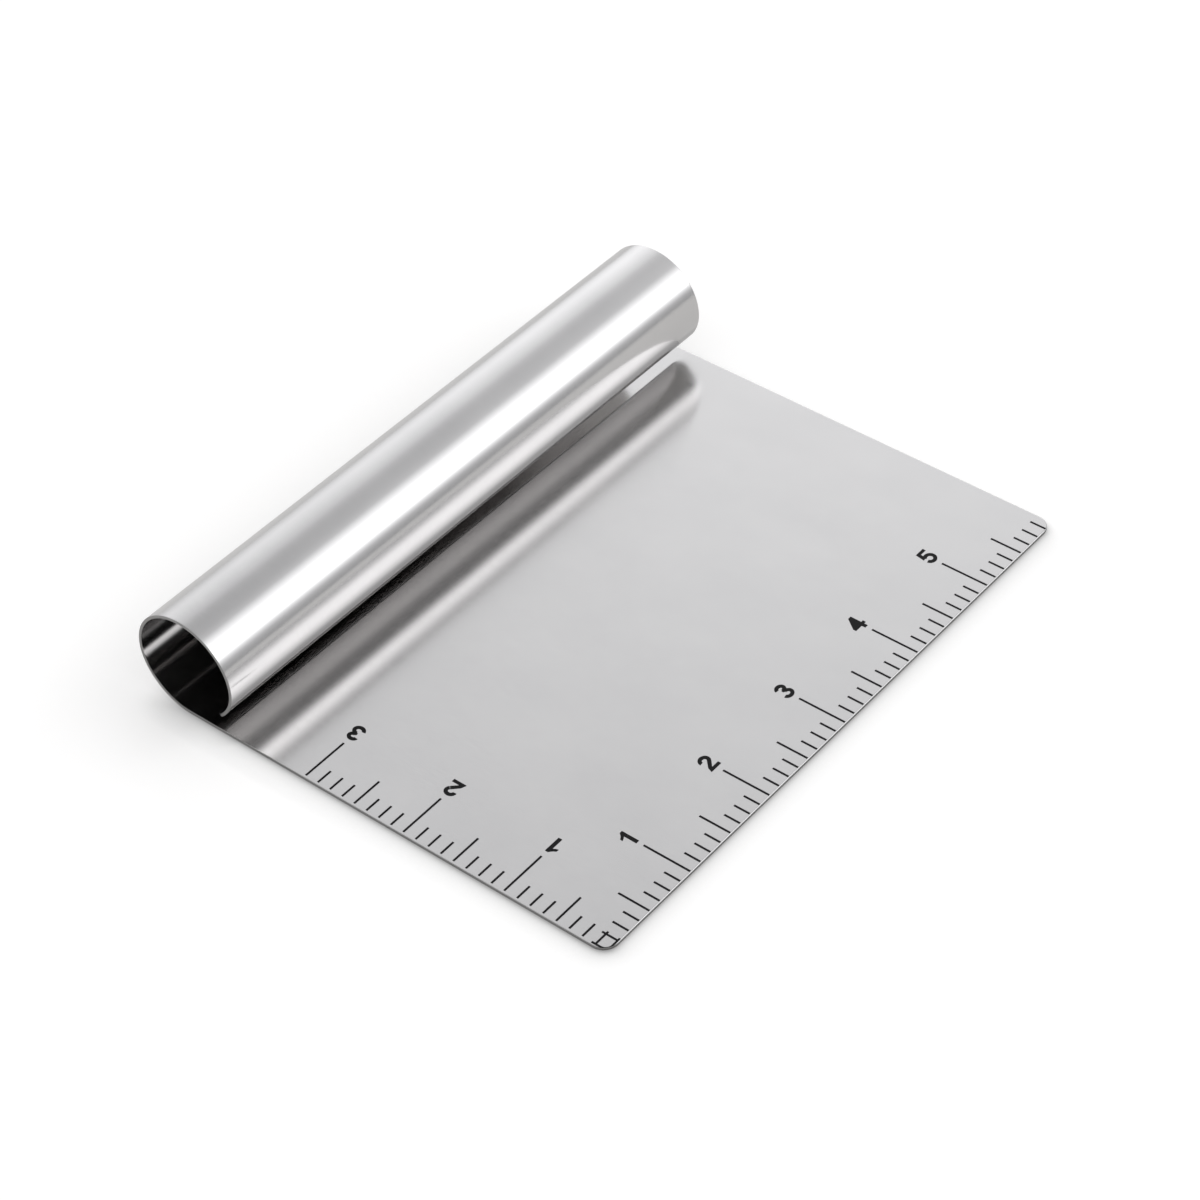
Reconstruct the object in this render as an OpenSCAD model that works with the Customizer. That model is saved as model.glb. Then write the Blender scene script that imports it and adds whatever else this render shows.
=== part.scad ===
// Dough scraper: one strip of stainless sheet that lies flat as the blade and
// rolls up at the back into an open tube, which is the handle.
// X runs along the cutting edge, Y from the cutting edge back to the handle, Z up.
// The origin is under the middle of the tool, on the surface that it rests on.

/* [Sheet] */
// Width of the tool along its cutting edge
tool_w = 152.4; // [90:0.1:220]
// Depth of the tool from its cutting edge to the back of its handle
tool_d = 119.4; // [85:0.1:170]
// Thickness of the sheet
sheet_t = 0.7; // [0.4:0.05:1.5]
// Radius of the two front corners, seen from above
corner_r = 3.5; // [2.5:0.1:5]
// Height of the bevel ground on top of the cutting edge
bevel_h = 0.2; // [0.05:0.05:0.3]
// Depth of that bevel from front to back
bevel_d = 0.15; // [0.05:0.05:0.3]

/* [Rolled handle] */
// Outside diameter of the roll
roll_d = 25.2; // [18:0.1:36]
// Outside radius of the lip, the last stretch of the sheet, which curls in at the roll's front
lip_r = 11; // [8:0.1:18]
// Angle that the lip turns through before the sheet ends
lip_turn = 59.5; // [20:0.5:70]
// Radius of the lip's two corners, measured along the sheet
lip_corner_r = 3; // [1:0.1:4]

/* [Scales] */
// Length of one unit on both scales
unit_l = 25.4; // [20:0.1:30]
// Divisions in one unit
unit_parts = 8; // [4:2:16]
// Length of a short tick
tick_l = 3.8; // [3:0.1:5]
// Length of a tick at half a unit
half_tick_l = 7.45; // [5:0.05:9]
// Length of a tick at a whole unit
unit_tick_l = 11.25; // [9:0.05:14]
// Width of a tick
tick_w = 0.45; // [0.2:0.05:0.8]
// Thickness of the print
print_t = 0.05; // [0.02:0.01:0.2]
// Distance from the cutting edge to the near end of the ticks along it
edge_gap = 0.3; // [0.2:0.05:2]
// Distance from the left side to the near end of the ticks along it
side_gap = 0.65; // [0.3:0.05:3]
// Distance from the left side to the zero of the scale along the cutting edge
zero_gap = 0.6; // [0.5:0.05:3]
// How much tighter than the blade's corner the zero mark turns its own
zero_tuck = 1.9; // [1:0.1:2.2]

/* [Hidden] */
$fn = 96;
steel = [0.78, 0.78, 0.79];
ink = [0.12, 0.12, 0.13];
quarter_turn = 90;
// Shapes that only trim others run past them by this much
overrun = corner_r;
// The arc of a rounded corner runs past the two edges that it joins by this much, so that
// it crosses them at a clear angle
arc_past = 0.01;
roll_r = roll_d / 2;
// The flat blade ends under the middle of the roll, where the bend starts
flat_d = tool_d - roll_r;
// Places along a scale are counted in divisions from its zero
tick_step = unit_l / unit_parts;
half_parts = unit_parts / 2;
// The scale along the cutting edge runs on to the right side, as far as a tick still fits
edge_parts = floor((tool_w - zero_gap - tick_w) / tick_step);
// The scale along the left side has the whole units that end clear of the roll
side_parts = unit_parts * floor((tool_d - roll_d) / unit_l);
// Short ticks this near the zero cross those of the other scale, so they join the zero mark
corner_parts = floor((tick_l + edge_gap + tick_w / 2) / tick_step);
// The zero mark is a line round the blade's front left corner, whose middle is at
// zero_gap from the left side and zero_y from the cutting edge, just behind the bevel
zero_y = bevel_d + tick_w / 2;
zero_r = corner_r - zero_tuck;

// Places what is drawn from the blade's front left corner
module from_corner() {
    translate([-tool_w / 2, -tool_d / 2, 0])
        children();
}

// A rectangle with one corner at the origin, whose two corners on the X axis are rounded
module front_rounded(w, d, r) {
    translate([r, 0])
        square([w - 2 * r, d]);
    translate([0, r])
        square([w, d - r]);
    for (x = [r, w - r])
        translate([x, r])
            circle(r = r);
}

// Outline of the flat blade from above
module blade_outline() {
    front_rounded(tool_w, flat_d, corner_r);
}

// Side view of the flat blade, with the bevel that is ground on its cutting edge
module blade_section() {
    polygon([
        [0, 0],
        [flat_d, 0],
        [flat_d, sheet_t],
        [bevel_d, sheet_t],
        [0, sheet_t - bevel_h]
    ]);
}

// A shape drawn in side view, Y to the right and Z up, carried along X over the tool's width
module across() {
    rotate([quarter_turn, 0, quarter_turn])
        children();
}

// A bend of the sheet about the X axis, with its outside at radius r.
// Its angles are counted from the back over the top.
module bend(r, from, turn) {
    across()
        rotate([0, 0, from])
            rotate_extrude(angle = turn)
                translate([r - sheet_t, 0])
                    square([sheet_t, tool_w]);
}

// What rounding the corner of a sheet takes away, up through the sheet. The sheet lies on
// the XY plane with its end along the X axis and the corner at the origin.
module corner_cut(r) {
    translate([0, 0, -overrun])
        linear_extrude(height = sheet_t + 2 * overrun)
            difference() {
                translate([-overrun, -overrun])
                    square(r + overrun);
                translate([r, r])
                    circle(r = r + arc_past);
            }
}

// The same at both ends of an edge that is as long as the tool is wide
module corner_cuts(r) {
    corner_cut(r);
    translate([tool_w, 0, 0])
        mirror([1, 0, 0])
            corner_cut(r);
}

// The last bend of the sheet. Its corners are cut in the plane that touches it at its end.
module lip() {
    difference() {
        bend(lip_r, 2 * quarter_turn, lip_turn);
        rotate([quarter_turn + lip_turn, 0, 0])
            translate([0, 0, lip_r - sheet_t])
                corner_cuts(lip_corner_r);
    }
}

// The roll leaves the blade under its own middle and turns back, up and over to its front.
// There the lip takes over with a smaller radius, and stops short of the blade.
module roll() {
    translate([0, flat_d, roll_r])
        bend(roll_r, -quarter_turn, 3 * quarter_turn);
    translate([0, flat_d - roll_r + lip_r, roll_r])
        lip();
}

module blade() {
    difference() {
        across()
            linear_extrude(height = tool_w)
                blade_section();
        corner_cuts(corner_r);
    }
}

module blade_and_rolled_handle() {
    color(steel)
        from_corner() {
            blade();
            roll();
        }
}

// The printed layer on the blade's top face, trimmed by the blade's outline
module printed() {
    color(ink)
        from_corner()
            translate([0, 0, sheet_t])
                linear_extrude(height = print_t)
                    intersection() {
                        children();
                        blade_outline();
                    }
}

// Ticks at the given divisions along X from zero, which run from gap inwards along Y
module ticks(parts, zero, gap, l) {
    for (k = parts)
        translate([zero + k * tick_step - tick_w / 2, gap])
            square([tick_w, l]);
}

module edge_ticks(parts, l) {
    ticks(parts, zero_gap, edge_gap, l);
}

// The left side's scale starts at the cutting edge. It is turned from the X axis,
// so its divisions are counted backwards there.
module side_ticks(parts, l) {
    rotate([0, 0, -quarter_turn])
        ticks(-parts, 0, side_gap, l);
}

function whole_units(count) = [for (k = [1 : 1 : count]) if (k % unit_parts == 0) k];
function half_units(count) = [for (k = [1 : 1 : count]) if (k % unit_parts == half_parts) k];
function between(first, last) = [for (k = [first : 1 : last]) if (k % half_parts != 0) k];

module edge_inch_marks() {
    printed()
        edge_ticks(whole_units(edge_parts), unit_tick_l);
}

module edge_half_inch_marks() {
    printed()
        edge_ticks(half_units(edge_parts), half_tick_l);
}

module edge_eighth_inch_marks() {
    printed()
        edge_ticks(between(corner_parts + 1, edge_parts), tick_l);
}

module side_inch_marks() {
    printed()
        side_ticks(whole_units(side_parts), unit_tick_l);
}

module side_half_inch_marks() {
    printed()
        side_ticks(half_units(side_parts), half_tick_l);
}

module side_eighth_inch_marks() {
    printed()
        side_ticks(between(corner_parts + 1, side_parts), tick_l);
}

// The zero mark's line runs along both edges, as far as the short ticks reach
module zero_line() {
    translate([zero_gap - tick_w / 2, zero_y - tick_w / 2])
        intersection() {
            square([side_gap + tick_l - zero_gap + tick_w / 2, edge_gap + tick_l - zero_y + tick_w / 2]);
            difference() {
                front_rounded(tool_w, flat_d, zero_r + tick_w / 2);
                translate([tick_w, tick_w])
                    front_rounded(tool_w, flat_d, zero_r - tick_w / 2);
            }
        }
}

module zero_mark() {
    printed() {
        zero_line();
        edge_ticks(between(1, corner_parts), tick_l);
        side_ticks(between(1, corner_parts), tick_l);
    }
}

blade_and_rolled_handle();
edge_inch_marks();
edge_half_inch_marks();
edge_eighth_inch_marks();
side_inch_marks();
side_half_inch_marks();
side_eighth_inch_marks();
zero_mark();
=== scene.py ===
"""Looks of a dough scraper: a strip of brushed stainless sheet, flat as the blade and
rolled up at the back as the handle, with an inch scale printed along two of its edges.

Lengths are in metres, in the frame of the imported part: X runs along the cutting edge,
Y from the cutting edge back to the handle, Z up. The part rests on the plane Z = 0.
"""

import math

import bmesh
import bpy
from mathutils import Matrix, Vector
from mathutils.geometry import delaunay_2d_cdt


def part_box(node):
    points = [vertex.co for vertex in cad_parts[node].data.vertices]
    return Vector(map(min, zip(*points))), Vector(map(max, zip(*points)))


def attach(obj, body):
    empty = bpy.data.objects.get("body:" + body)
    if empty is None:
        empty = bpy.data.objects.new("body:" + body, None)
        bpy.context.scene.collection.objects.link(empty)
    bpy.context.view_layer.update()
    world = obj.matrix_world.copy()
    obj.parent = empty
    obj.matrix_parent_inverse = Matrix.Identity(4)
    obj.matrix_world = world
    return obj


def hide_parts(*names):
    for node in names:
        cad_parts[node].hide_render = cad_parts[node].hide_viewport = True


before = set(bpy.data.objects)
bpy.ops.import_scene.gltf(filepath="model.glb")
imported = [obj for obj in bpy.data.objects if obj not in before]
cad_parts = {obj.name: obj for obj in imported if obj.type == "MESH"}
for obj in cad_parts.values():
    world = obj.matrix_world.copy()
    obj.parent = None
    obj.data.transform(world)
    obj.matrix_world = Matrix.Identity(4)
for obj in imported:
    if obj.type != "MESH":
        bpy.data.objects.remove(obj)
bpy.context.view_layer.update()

MM = 0.001
BODY = "root"
SHEET_NODE = "blade_and_rolled_handle"

# The sheet. Its width, depth and roll come from the frame, the rest repeats the part's own sizes.
SHEET_LOW, SHEET_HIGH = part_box(SHEET_NODE)
HALF_W = SHEET_HIGH.x
FRONT_Y = SHEET_LOW.y
ROLL_R = SHEET_HIGH.z / 2
ROLL_Y = SHEET_HIGH.y - ROLL_R
SHEET_T = 0.7 * MM
CORNER_R = 3.5 * MM
BEVEL_H = 0.2 * MM
BEVEL_D = 0.15 * MM
LIP_R = 11 * MM
LIP_TURN = math.radians(59.5)
LIP_CORNER_R = 3 * MM
EDGE_ROUNDING = 0.1 * MM
ROUNDING_STEPS = 3
# The flat of each face ends this far from the sheet's outline, so that the rounded edges
# don't tilt its shading
FLAT_INSET = 0.25 * MM
FLAT_STEP = 4 * MM
COLUMNS = 48
CORNER_STEPS = 14
BEND_STEP = math.radians(2.5)
GRAIN_UV = "grain"
CUT_FACE = "cut_face"
INNER_FACE = "inner_face"

# Distances along the strip, measured in the middle of the sheet
ROLL_MID_R = ROLL_R - SHEET_T / 2
LIP_MID_R = LIP_R - SHEET_T / 2
FLAT_L = ROLL_Y - FRONT_Y
ROLL_END = FLAT_L + ROLL_MID_R * math.radians(270)
STRIP_L = ROLL_END + LIP_MID_R * LIP_TURN
# Between these two a painted shade fades in. It darkens the colour on the blade's top under the roll and
# on the roll's inner face, where the roughness changes too, and on the outer face under the lip.
INNER_SHADE_RAMP = (FLAT_L - 6 * MM, FLAT_L - 3 * MM)
OUTER_SHADE_RAMP = (ROLL_END + 2.5 * MM, ROLL_END + 4.5 * MM)
# The brushed lines get fainter between these two, towards the gap under the lip
INNER_LINES = (FLAT_L - 9.8 * MM, FLAT_L - 9 * MM)
OUTER_LINES = (ROLL_END - 2 * MM, ROLL_END + 1 * MM)

# The print
PRINT_LOW, PRINT_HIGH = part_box("edge_inch_marks")
PRINT_T = PRINT_HIGH.z - PRINT_LOW.z
TICK_W = 0.45 * MM
EDGE_UNITS = 5
SIDE_UNITS = 3
NUMERAL_H = 4.3 * MM
NUMERAL_GAP = 1.45 * MM
ARC_STEP = math.radians(9)


# Small helpers

# The sockets of a mix node that hold colours
MIX_FIRST = 6
MIX_SECOND = 7
MIX_RESULT = 2


def half_turns(count):
    return count * math.pi


def link(obj):
    bpy.context.scene.collection.objects.link(obj)
    return obj


def mesh_object(name, bm):
    mesh = bpy.data.meshes.new(name)
    bm.to_mesh(mesh)
    bm.free()
    return link(bpy.data.objects.new(name, mesh))


def node(tree, kind, inputs=None, **settings):
    """A shader node with its settings and its inputs, given as values or as other nodes' outputs."""
    made = tree.nodes.new(kind)
    for key, value in settings.items():
        setattr(made, key, value)
    for key, value in (inputs or {}).items():
        if isinstance(value, bpy.types.NodeSocket):
            tree.links.new(value, made.inputs[key])
        else:
            made.inputs[key].default_value = value
    return made


def new_material(name):
    material = bpy.data.materials.new(name)
    material.use_nodes = True
    material.node_tree.nodes.clear()
    return material, material.node_tree


def remap(tree, value, low, high, to_low, to_high):
    """The value moved from the range low..high to the range to_low..to_high, and held there."""
    inputs = {"Value": value, "From Min": low, "From Max": high, "To Min": to_low, "To Max": to_high}
    return node(tree, "ShaderNodeMapRange", inputs).outputs["Result"]


def blend(tree, factor, first, second):
    """A number that goes from first to second as the factor goes from 0 to 1."""
    return remap(tree, factor, 0.0, 1.0, first, second)


def calculate(tree, operation, first, second=0.0):
    return node(tree, "ShaderNodeMath", {0: first, 1: second}, operation=operation).outputs[0]


def noise(tree, vector, scale, detail=3.0, roughness=0.5):
    """Noise over a vector that is scaled by three factors, in features per metre."""
    placed = node(tree, "ShaderNodeMapping", {"Vector": vector, "Scale": scale})
    inputs = {
        "Vector": placed.outputs["Vector"],
        "Scale": 1.0,
        "Detail": detail,
        "Roughness": roughness,
    }
    return node(tree, "ShaderNodeTexNoise", inputs).outputs["Fac"]


def mix(tree, factor, first, second):
    """A colour that goes from first to second as the factor goes from 0 to 1."""
    inputs = {0: factor, MIX_FIRST: first, MIX_SECOND: second}
    return node(tree, "ShaderNodeMix", inputs, data_type="RGBA").outputs[MIX_RESULT]


# Materials

# Noise mostly lies between these two
NOISE_RANGE = (0.35, 0.65)
# Features per metre across the strip, along it and up from it
GRAIN_NOISE = (5200, 260, 1)
CLOUD_NOISE = (60, 38, 1)
WAVE_NOISE = (9, 26, 1)
STEEL_TONES = [(0.585, 0.577, 0.573, 1), (0.625, 0.615, 0.609, 1)]
# Painted shade: the darker colours on the outer face under the lip and inside the roll
LIP_PAINTED_SHADE = (0.34, 0.333, 0.33, 1)
INSIDE_PAINTED_SHADE = (0.42, 0.41, 0.405, 1)
CUT_TONE = (0.34, 0.335, 0.33, 1)
STEEL_ROUGHNESS = (0.165, 0.215)
CLOUD_ROUGHNESS = (-0.004, 0.004)
FAINT_ROUGHNESS = 0.1
INSIDE_ROUGHNESS = 0.16
CUT_ROUGHNESS = 0.42
# How much more the brushed steel blurs across its lines than along them
STEEL_ANISOTROPY = 0.8
STEEL_BUMPS = 0.05
WAVE_HEIGHT = 0.2 * MM
LINE_HEIGHT = 0.02 * MM

PRINT_NOISE = (900, 900, 900)
PRINT_NOISE_RANGE = (0.3, 0.7)
PRINT_TONES = [(0.001, 0.001, 0.0015, 1), (0.005, 0.005, 0.005, 1)]
PRINT_ROUGHNESS = (0.42, 0.58)
PRINT_GLOSS = 0.15
PRINT_BUMPS = 0.15
PIT_HEIGHT = 0.02 * MM


def brushed_steel():
    """Stainless sheet, brushed along the strip: from the cutting edge back and round the handle. Its
    colour is darkened as painted shade on the blade's top under the roll, inside the roll and on the
    outer face under the lip. It is duller on the faces where the strip was cut."""
    material, tree = new_material("brushed_steel")
    grain_uv = node(tree, "ShaderNodeUVMap", uv_map=GRAIN_UV).outputs["UV"]
    cut = node(tree, "ShaderNodeAttribute", attribute_name=CUT_FACE).outputs["Fac"]
    inner = node(tree, "ShaderNodeAttribute", attribute_name=INNER_FACE).outputs["Fac"]
    way = node(tree, "ShaderNodeSeparateXYZ", {"Vector": grain_uv}).outputs["Y"]
    # Masks for the painted shade: on the blade's top under the roll and inside it, and on the outer face
    # under the lip
    inside = blend(tree, inner, 0.0, remap(tree, way, *INNER_SHADE_RAMP, 0.0, 1.0))
    shade_under_lip = remap(tree, way, *OUTER_SHADE_RAMP, 0.0, 1.0)
    faint_inside = blend(tree, inner, 0.0, remap(tree, way, *INNER_LINES, 0.0, 1.0))
    faint_outside = remap(tree, way, *OUTER_LINES, 0.0, 1.0)
    faint = calculate(tree, "MAXIMUM", faint_inside, faint_outside)
    fine = noise(tree, grain_uv, GRAIN_NOISE, detail=4.0, roughness=0.65)
    cloudy = noise(tree, grain_uv, CLOUD_NOISE, roughness=0.55)
    wavy = noise(tree, grain_uv, WAVE_NOISE, detail=1.0)
    tone = calculate(tree, "ADD", fine, cloudy)
    tone = remap(tree, tone, 2 * NOISE_RANGE[0], 2 * NOISE_RANGE[1], 0.0, 1.0)
    colour = mix(tree, tone, *STEEL_TONES)
    # Painted shade darkens the colour under the lip, then inside the roll and on the blade under it
    colour = mix(tree, shade_under_lip, colour, LIP_PAINTED_SHADE)
    colour = mix(tree, inside, colour, INSIDE_PAINTED_SHADE)
    colour = mix(tree, cut, colour, CUT_TONE)
    rough_grain = remap(tree, fine, *NOISE_RANGE, *STEEL_ROUGHNESS)
    rough_cloud = remap(tree, cloudy, *NOISE_RANGE, *CLOUD_ROUGHNESS)
    rough = calculate(tree, "ADD", rough_grain, rough_cloud)
    rough = blend(tree, faint, rough, FAINT_ROUGHNESS)
    rough = blend(tree, inside, rough, INSIDE_ROUGHNESS)
    rough = blend(tree, cut, rough, CUT_ROUGHNESS)
    waves = {"Strength": STEEL_BUMPS, "Distance": WAVE_HEIGHT, "Height": wavy}
    waves = node(tree, "ShaderNodeBump", waves).outputs["Normal"]
    lines = {"Strength": STEEL_BUMPS, "Distance": LINE_HEIGHT, "Height": fine, "Normal": waves}
    lines = node(tree, "ShaderNodeBump", lines).outputs["Normal"]
    across = node(tree, "ShaderNodeTangent", direction_type="UV_MAP", uv_map=GRAIN_UV)
    shader = node(
        tree,
        "ShaderNodeBsdfPrincipled",
        {
            "Base Color": colour,
            "Metallic": 1.0,
            "Roughness": rough,
            "Anisotropic": STEEL_ANISOTROPY,
            "Normal": lines,
            "Tangent": across.outputs["Tangent"],
        },
    )
    node(tree, "ShaderNodeOutputMaterial", {"Surface": shader.outputs["BSDF"]})
    return material


def dark_print():
    """The marks on the blade: nearly black, a little uneven, without much gloss."""
    material, tree = new_material("dark_print")
    place = node(tree, "ShaderNodeTexCoord").outputs["Object"]
    blotches = noise(tree, place, PRINT_NOISE)
    tone = remap(tree, blotches, *PRINT_NOISE_RANGE, 0.0, 1.0)
    colour = mix(tree, tone, *PRINT_TONES)
    rough = blend(tree, tone, *PRINT_ROUGHNESS)
    pits = {"Strength": PRINT_BUMPS, "Distance": PIT_HEIGHT, "Height": blotches}
    pits = node(tree, "ShaderNodeBump", pits).outputs["Normal"]
    shader = node(
        tree,
        "ShaderNodeBsdfPrincipled",
        {
            "Base Color": colour,
            "Metallic": 0.0,
            "Roughness": rough,
            "Specular IOR Level": PRINT_GLOSS,
            "Normal": pits,
        },
    )
    node(tree, "ShaderNodeOutputMaterial", {"Surface": shader.outputs["BSDF"]})
    return material


def white_floor():
    """A pale floor that shows the object's shadow and darkens towards the places that it stands on.
    What the camera sees of it is lifted to white, and what metal mirrors of it is lifted less."""
    material, tree = new_material("white_floor")
    lean = dict(zip("XYZ", CONTACT_LEAN))
    lean = node(tree, "ShaderNodeCombineXYZ", lean).outputs["Vector"]
    near = {"Distance": CONTACT_REACH, "Normal": lean}
    near = node(tree, "ShaderNodeAmbientOcclusion", near, samples=CONTACT_SAMPLES).outputs["AO"]
    hidden = remap(tree, near, 0.0, 1.0, 1.0, 0.0)
    hidden = calculate(tree, "POWER", hidden, CONTACT_POWER)
    shown = remap(tree, hidden, 0.0, CONTACT_LIMIT, 1.0, 0.0)
    colour = mix(tree, shown, (0, 0, 0, 1), FLOOR_COLOUR)
    lift = calculate(tree, "MULTIPLY", shown, FLOOR_LIFT)
    matt = node(tree, "ShaderNodeBsdfDiffuse", {"Color": colour}).outputs["BSDF"]
    glow = node(tree, "ShaderNodeEmission", {"Color": (1, 1, 1, 1), "Strength": lift})
    lifted = node(tree, "ShaderNodeAddShader", {0: matt, 1: glow.outputs["Emission"]}).outputs["Shader"]
    rays = node(tree, "ShaderNodeLightPath").outputs
    bounced = calculate(tree, "MAXIMUM", rays["Is Glossy Ray"], rays["Is Transmission Ray"])
    bounced = calculate(tree, "MULTIPLY", bounced, GLOSS_SHARE)
    seen = calculate(tree, "MAXIMUM", rays["Is Camera Ray"], bounced)
    mixed = node(tree, "ShaderNodeMixShader", {0: seen, 1: matt, 2: lifted})
    node(tree, "ShaderNodeOutputMaterial", {"Surface": mixed.outputs["Shader"]})
    return material


# The sheet


def corner_depths(radius):
    """Distances from an end of the strip at which the round corners there have a row of points."""
    return [radius * (1 - math.cos(half_turns(k / CORNER_STEPS / 2))) for k in range(CORNER_STEPS + 1)]


def half_width(depth, radius, half):
    """Half of the strip's width at a depth from an end with round corners. Past them it is half."""
    if depth >= radius:
        return half
    return half - radius + math.sqrt(radius**2 - (radius - depth) ** 2)


def even_steps(start, end, step):
    """Numbers after start, up to and with end, about a step apart."""
    count = round((end - start) / step)
    return [start + (end - start) * k / count for k in range(1, count + 1)]


def strip_rows(inset):
    """The strip's rows of points as (way along the strip, half width), where its outline is pulled in
    by inset. All insets give the same number of rows."""
    half = HALF_W - inset
    front_r = CORNER_R - inset
    rows = [(inset + depth, half_width(depth, front_r, half)) for depth in corner_depths(front_r)]
    rows += [(way, half) for way in even_steps(CORNER_R, FLAT_L, FLAT_STEP)]
    rows += [(way, half) for way in even_steps(FLAT_L, ROLL_END, BEND_STEP * ROLL_MID_R)]
    rows += [(way, half) for way in even_steps(ROLL_END, STRIP_L - LIP_CORNER_R, BEND_STEP * LIP_MID_R)]
    lip_corner_r = LIP_CORNER_R - inset
    lip_depths = corner_depths(lip_corner_r)[-2::-1]
    rows += [(STRIP_L - inset - depth, half_width(depth, lip_corner_r, half)) for depth in lip_depths]
    return rows


def on_strip(way, across, height):
    """The place of a point of the strip: way along it, across it, and height above its outer face."""
    if way <= FLAT_L:
        bevel = SHEET_T - BEVEL_H * max(0.0, 1 - way / BEVEL_D)
        return Vector((across, FRONT_Y + way, min(height, bevel)))
    if way <= ROLL_END:
        radius = ROLL_R
        centre_y = ROLL_Y
        angle = half_turns(-1 / 2) + (way - FLAT_L) / ROLL_MID_R
    else:
        radius = LIP_R
        centre_y = ROLL_Y - ROLL_R + LIP_R
        angle = half_turns(1) + (way - ROLL_END) / LIP_MID_R
    arm = radius - height
    return Vector((across, centre_y + arm * math.cos(angle), ROLL_R + arm * math.sin(angle)))


def edge_profile():
    """The sheet's edge from its outer to its inner face, as (inset, height, length of edge so far)."""
    low = []
    for k in range(ROUNDING_STEPS + 1):
        turn = half_turns(k / ROUNDING_STEPS / 2)
        shares = (1 - math.sin(turn), 1 - math.cos(turn), turn)
        low.append(tuple(EDGE_ROUNDING * share for share in shares))
    whole = 2 * low[-1][2] + SHEET_T - 2 * EDGE_ROUNDING
    high = [(inset, SHEET_T - height, whole - length) for inset, height, length in reversed(low)]
    return low + high


def grid(inset):
    """Points of the strip as rows of (way, across), where its outline is pulled in by inset."""
    shares = [2 * k / COLUMNS - 1 for k in range(COLUMNS + 1)]
    return [[(way, half * share) for share in shares] for way, half in strip_rows(inset)]


def rim(rows):
    """The outermost points of a grid, once round."""
    left = [row[0] for row in rows]
    right = [row[-1] for row in rows]
    return rows[0][:-1] + right[:-1] + rows[-1][:0:-1] + left[:0:-1]


def sheet_mesh():
    """The strip as one closed mesh. Its UV map unrolls it: U across the strip, V along it, in metres."""
    bm = bmesh.new()
    uv_layer = bm.loops.layers.uv.new(GRAIN_UV)
    cut_layer = bm.faces.layers.float.new(CUT_FACE)
    inner_layer = bm.faces.layers.float.new(INNER_FACE)

    def add(corners, cut=0.0, inner=0.0):
        """A face from corners, each of them a vertex and its (V, U)."""
        face = bm.faces.new([vert for vert, _ in corners])
        face.smooth = True
        face[cut_layer] = cut
        face[inner_layer] = inner
        for loop, (_, (v, u)) in zip(face.loops, corners):
            loop[uv_layer].uv = (u, v)

    def band(first, second, **kind):
        """Faces between two rims."""
        for k in range(len(first)):
            add([first[k - 1], first[k], second[k], second[k - 1]], **kind)

    flat = grid(FLAT_INSET)
    rims = []
    for height in (0.0, SHEET_T):
        face = [[(bm.verts.new(on_strip(*spot, height)), spot) for spot in row] for row in flat]
        for low_row, high_row in zip(face, face[1:]):
            for j in range(COLUMNS):
                ring = [low_row[j], high_row[j], high_row[j + 1], low_row[j + 1]]
                if height == 0:
                    add(ring)
                else:
                    add(ring[::-1], inner=1.0)
        rims.append(rim(face))
    edge = []
    for inset, height, length in edge_profile():
        spots = rim(grid(inset))
        unrolled = rim(grid(EDGE_ROUNDING - length))
        verts = [bm.verts.new(on_strip(*spot, height)) for spot in spots]
        edge.append(list(zip(verts, unrolled)))
    band(rims[0], edge[0])
    for first, second in zip(edge, edge[1:]):
        band(first, second, cut=1.0)
    inner_edge = [(vert, spot) for (vert, _), spot in zip(edge[-1], rim(grid(EDGE_ROUNDING)))]
    band(inner_edge, rims[1], inner=1.0)
    return bm


def build_sheet(material):
    sheet = mesh_object("brushed_sheet", sheet_mesh())
    sheet.data.materials.append(material)
    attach(sheet, BODY)
    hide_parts(SHEET_NODE)


# The numerals. Their points are shares of the numeral's height, from the middle of its
# tick and up from its foot.

STROKE_SHARE = 0.2
# What delaunay_2d_cdt asks for: only triangles inside the outlines, and how near points may lie
CDT_INSIDE = 1
CDT_NEAR = 1e-5
# Faces that meet at less than this angle, in radians, are joined into one
FLAT_ANGLE = 0.01
NUMERAL_SHARES = {
    1: {
        "outlines": [
            [(-0.105, 0), (0.1, 0), (0.1, 0.98), (-0.065, 0.98), (-0.105, 0.9), (-0.105, 0.68)],
            [(-0.065, 0.98), (-0.15, 0.87), (-0.25, 0.78), (-0.355, 0.725), (-0.37, 0.58),
             (-0.24, 0.62), (-0.105, 0.7), (0, 0.8)],
        ],
        "arcs": [],
    },
    2: {
        "outlines": [
            [(-0.41, 0.01), (0.315, 0.01), (0.315, 0.19), (-0.13, 0.19), (-0.28, 0.28)],
            [(-0.41, 0.01), (-0.13, 0.19), (0.19, 0.48), (0.045, 0.63), (-0.3, 0.29)],
        ],
        "arcs": [((-0.04, 0.71), 0.235, 0.205, 185, -45)],
    },
    3: {
        "outlines": [[(-0.11, 0.475), (0.04, 0.475), (0.04, 0.61), (-0.11, 0.61)]],
        "arcs": [((-0.03, 0.735), 0.215, 0.17, 172, -95), ((-0.025, 0.3), 0.245, 0.2, 90, -172)],
    },
    4: {
        "outlines": [
            [(-0.08, 0), (0.12, 0), (0.12, 1.0), (-0.08, 1.0)],
            [(-0.54, 0.21), (0.26, 0.21), (0.26, 0.38), (-0.54, 0.38)],
            [(-0.54, 0.38), (-0.3, 0.38), (-0.08, 0.69), (-0.08, 1.0)],
        ],
        "arcs": [],
    },
    5: {
        "outlines": [
            [(-0.27, 0.84), (0.31, 0.84), (0.31, 1.01), (-0.27, 1.01)],
            [(-0.35, 0.49), (-0.17, 0.515), (-0.09, 0.84), (-0.27, 1.01)],
        ],
        "arcs": [((-0.015, 0.35), 0.26, 0.25, 140, -170)],
    },
}


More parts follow.
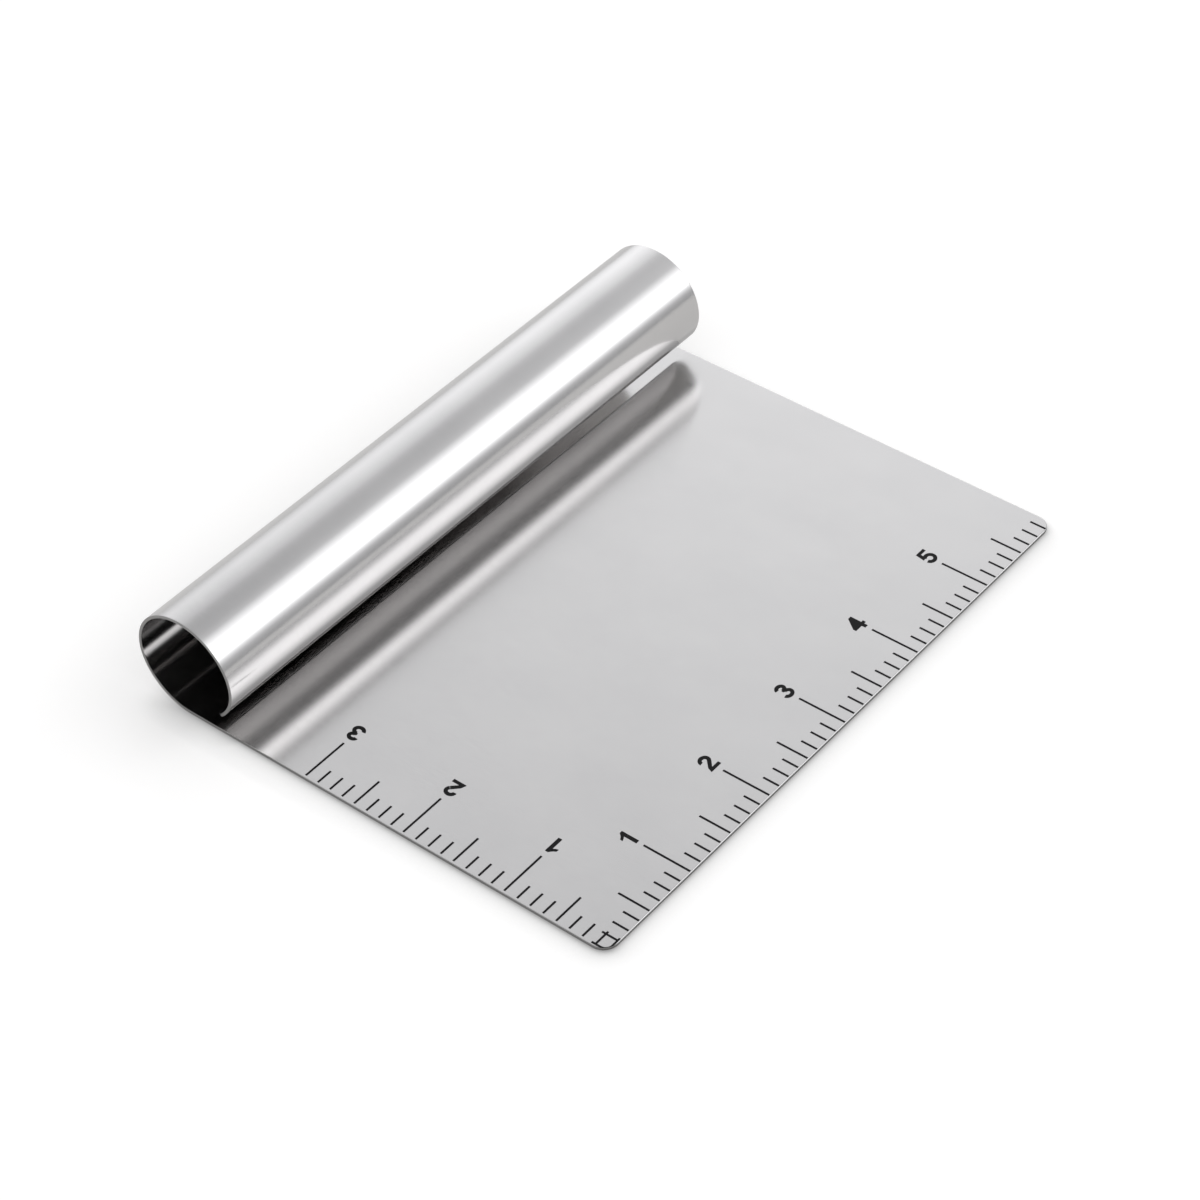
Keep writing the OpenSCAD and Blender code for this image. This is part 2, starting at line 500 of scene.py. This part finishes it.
def stroke(centre, radius_x, radius_y, start, end):
    """The outline of a stroke that follows an arc clockwise, from and to angles in degrees."""
    first = math.radians(start)
    turn = math.radians(end) - first
    steps = max(2, round(abs(turn) / ARC_STEP))
    outside = []
    inside = []
    for k in range(steps + 1):
        angle = first + turn * k / steps
        aim = Vector((math.cos(angle), math.sin(angle)))
        middle = Vector((centre[0] + radius_x * aim.x, centre[1] + radius_y * aim.y))
        outside.append(middle + aim * STROKE_SHARE / 2)
        inside.append(middle - aim * STROKE_SHARE / 2)
    return outside + inside[::-1]


def counter_clockwise(points):
    area = sum(a[0] * b[1] - b[0] * a[1] for a, b in zip(points, points[1:] + points[:1]))
    return points if area > 0 else points[::-1]


def build_numeral(name, digit, foot, right, up, material):
    """A printed numeral as one flat solid. It stands on foot, and right and up are its directions."""
    shares = NUMERAL_SHARES[digit]
    outlines = shares["outlines"] + [stroke(*arc) for arc in shares["arcs"]]
    points = []
    rings = []
    for outline in outlines:
        outline = counter_clockwise([Vector(p) for p in outline])
        rings.append(list(range(len(points), len(points) + len(outline))))
        points += outline
    flat, _, faces, *_ = delaunay_2d_cdt(points, [], rings, CDT_INSIDE, CDT_NEAR)
    bm = bmesh.new()
    verts = [bm.verts.new(foot + NUMERAL_H * (p.x * right + p.y * up)) for p in flat]
    for face in faces:
        bm.faces.new([verts[k] for k in face])
    bmesh.ops.dissolve_limit(bm, angle_limit=FLAT_ANGLE, verts=bm.verts, edges=bm.edges)
    bmesh.ops.recalc_face_normals(bm, faces=bm.faces)
    grown = bmesh.ops.extrude_face_region(bm, geom=bm.faces[:])["geom"]
    raised = [g for g in grown if isinstance(g, bmesh.types.BMVert)]
    bmesh.ops.translate(bm, verts=raised, vec=(0, 0, PRINT_T))
    bmesh.ops.recalc_face_normals(bm, faces=bm.faces)
    numeral = mesh_object(name, bm)
    numeral.data.materials.append(material)
    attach(numeral, BODY)


def build_numerals(material):
    """Each numeral stands just past the inner end of its tick, with its middle on the tick."""
    along, back = Vector((1, 0, 0)), Vector((0, 1, 0))
    low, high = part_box("edge_inch_marks")
    step = (high.x - low.x - TICK_W) / (EDGE_UNITS - 1)
    for k in range(EDGE_UNITS):
        foot = Vector((low.x + TICK_W / 2 + step * k, high.y + NUMERAL_GAP, low.z))
        build_numeral(f"edge_numeral_{k + 1}", k + 1, foot, along, back, material)
    low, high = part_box("side_inch_marks")
    step = (high.y - low.y - TICK_W) / (SIDE_UNITS - 1)
    for k in range(SIDE_UNITS):
        foot = Vector((high.x + NUMERAL_GAP + NUMERAL_H, low.y + TICK_W / 2 + step * k, low.z))
        build_numeral(f"side_numeral_{k + 1}", k + 1, foot, back, -along, material)


def finish_marks(material):
    for name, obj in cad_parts.items():
        if name == SHEET_NODE:
            continue
        obj.data.materials.clear()
        obj.data.materials.append(material)


# The studio

CAMERA_PLACE = Vector((-0.39892, -0.32876, 0.47491))
CAMERA_AZIMUTH = math.radians(-50.293)
CAMERA_ELEVATION = math.radians(42.487)
CAMERA_ROLL = math.radians(-1.814)
SENSOR = 36.0
LENS = 101.437
CLIP_START = 0.01
CLIP_END = 50
FLOOR_SIZE = 6.0
FLOOR_DROP = 0.02 * MM
FLOOR_COLOUR = (0.71, 0.7, 0.685, 1)
FLOOR_LIFT = 0.39
# Share of that lift which metal reflects
GLOSS_SHARE = 0.28
# Contact shadow: how far it reaches, the side that the light comes from, the power that the
# hidden share of that light is raised to, and what leaves the floor black after that
CONTACT_REACH = 6.5 * MM
CONTACT_LEAN = (0.7, 0.7, 0.14)
CONTACT_POWER = 0.85
CONTACT_LIMIT = 1.04
CONTACT_SAMPLES = 16

# Brightness of the surroundings by the angle, in degrees, from the back over the top to the front
WORLD_PEAK = 2.6
WORLD_TINT = (0.97, 0.979, 1.0)
WORLD_STOPS = [
    (0, 1.05), (10, 1.26), (22, 1.44), (34, 1.33), (42, 1.22), (50, 1.13),
    (60, 0.97), (68, 0.78), (80, 0.72), (98, 0.76), (108, 0.86), (115, 1.3),
    (127, 2.0), (136, 2.6), (152, 2.6), (160, 1.3), (168, 0.71), (180, 0.45),
]
# They are brighter on the right: the factors at two values of the direction's X, behind and in
# front, which blend into each other overhead, between two angles
WORLD_BACK_SIDES = [(0.45, 0.77), (0.75, 1.37)]
WORLD_FRONT_SIDES = [(-0.2, 0.45), (0.35, 1.0)]
WORLD_OVERHEAD = (math.radians(95), math.radians(115))


def build_camera():
    data = bpy.data.cameras.new("camera")
    data.sensor_width = SENSOR
    data.lens = LENS
    data.clip_start = CLIP_START
    data.clip_end = CLIP_END
    camera = link(bpy.data.objects.new("camera", data))
    level = math.cos(CAMERA_ELEVATION)
    back = Vector(
        (math.sin(CAMERA_AZIMUTH) * level, -math.cos(CAMERA_AZIMUTH) * level, math.sin(CAMERA_ELEVATION))
    )
    turn = (-back).to_track_quat("-Z", "Y").to_matrix().to_4x4() @ Matrix.Rotation(CAMERA_ROLL, 4, "Z")
    camera.matrix_world = Matrix.Translation(CAMERA_PLACE) @ turn
    bpy.context.scene.camera = camera


def build_floor():
    bm = bmesh.new()
    bmesh.ops.create_grid(bm, x_segments=1, y_segments=1, size=FLOOR_SIZE / 2)
    floor = mesh_object("floor", bm)
    floor.location.z = -FLOOR_DROP
    floor.data.materials.append(white_floor())


def build_world():
    """Soft studio surroundings: a broad bright panel in front, a weaker one behind, and a darker
    ceiling. The camera itself sees plain white there."""
    world = bpy.data.worlds.new("studio")
    bpy.context.scene.world = world
    world.use_nodes = True
    tree = world.node_tree
    tree.nodes.clear()
    direction = node(tree, "ShaderNodeTexCoord").outputs["Generated"]
    split = node(tree, "ShaderNodeSeparateXYZ", {"Vector": direction}).outputs
    angle = calculate(tree, "ARCTAN2", split["Z"], split["Y"])
    angle = calculate(tree, "ABSOLUTE", angle)
    ramp = node(tree, "ShaderNodeValToRGB", {"Fac": remap(tree, angle, 0.0, math.pi, 0.0, 1.0)})
    stops = ramp.color_ramp.elements
    while len(stops) < len(WORLD_STOPS):
        stops.new(0.5)
    for stop, (degrees, brightness) in zip(stops, WORLD_STOPS):
        stop.position = degrees / 180
        stop.color = [part * brightness / WORLD_PEAK for part in WORLD_TINT] + [1]
    sides = []
    for (left, left_factor), (right, right_factor) in (WORLD_BACK_SIDES, WORLD_FRONT_SIDES):
        factors = (left_factor * WORLD_PEAK, right_factor * WORLD_PEAK)
        sides.append(remap(tree, split["X"], left, right, *factors))
    strength = remap(tree, angle, *WORLD_OVERHEAD, *sides)
    glow = node(tree, "ShaderNodeBackground", {"Color": ramp.outputs["Color"], "Strength": strength})
    white = node(tree, "ShaderNodeBackground", {"Color": (1, 1, 1, 1), "Strength": 1.0})
    seen = node(tree, "ShaderNodeLightPath").outputs["Is Camera Ray"]
    shown = {0: seen, 1: glow.outputs["Background"], 2: white.outputs["Background"]}
    shown = node(tree, "ShaderNodeMixShader", shown).outputs["Shader"]
    node(tree, "ShaderNodeOutputWorld", {"Surface": shown})


def build_studio():
    build_camera()
    build_floor()
    build_world()
    bpy.context.scene.view_settings.view_transform = "Standard"


steel = brushed_steel()
ink = dark_print()
build_sheet(steel)
finish_marks(ink)
build_numerals(ink)
build_studio()
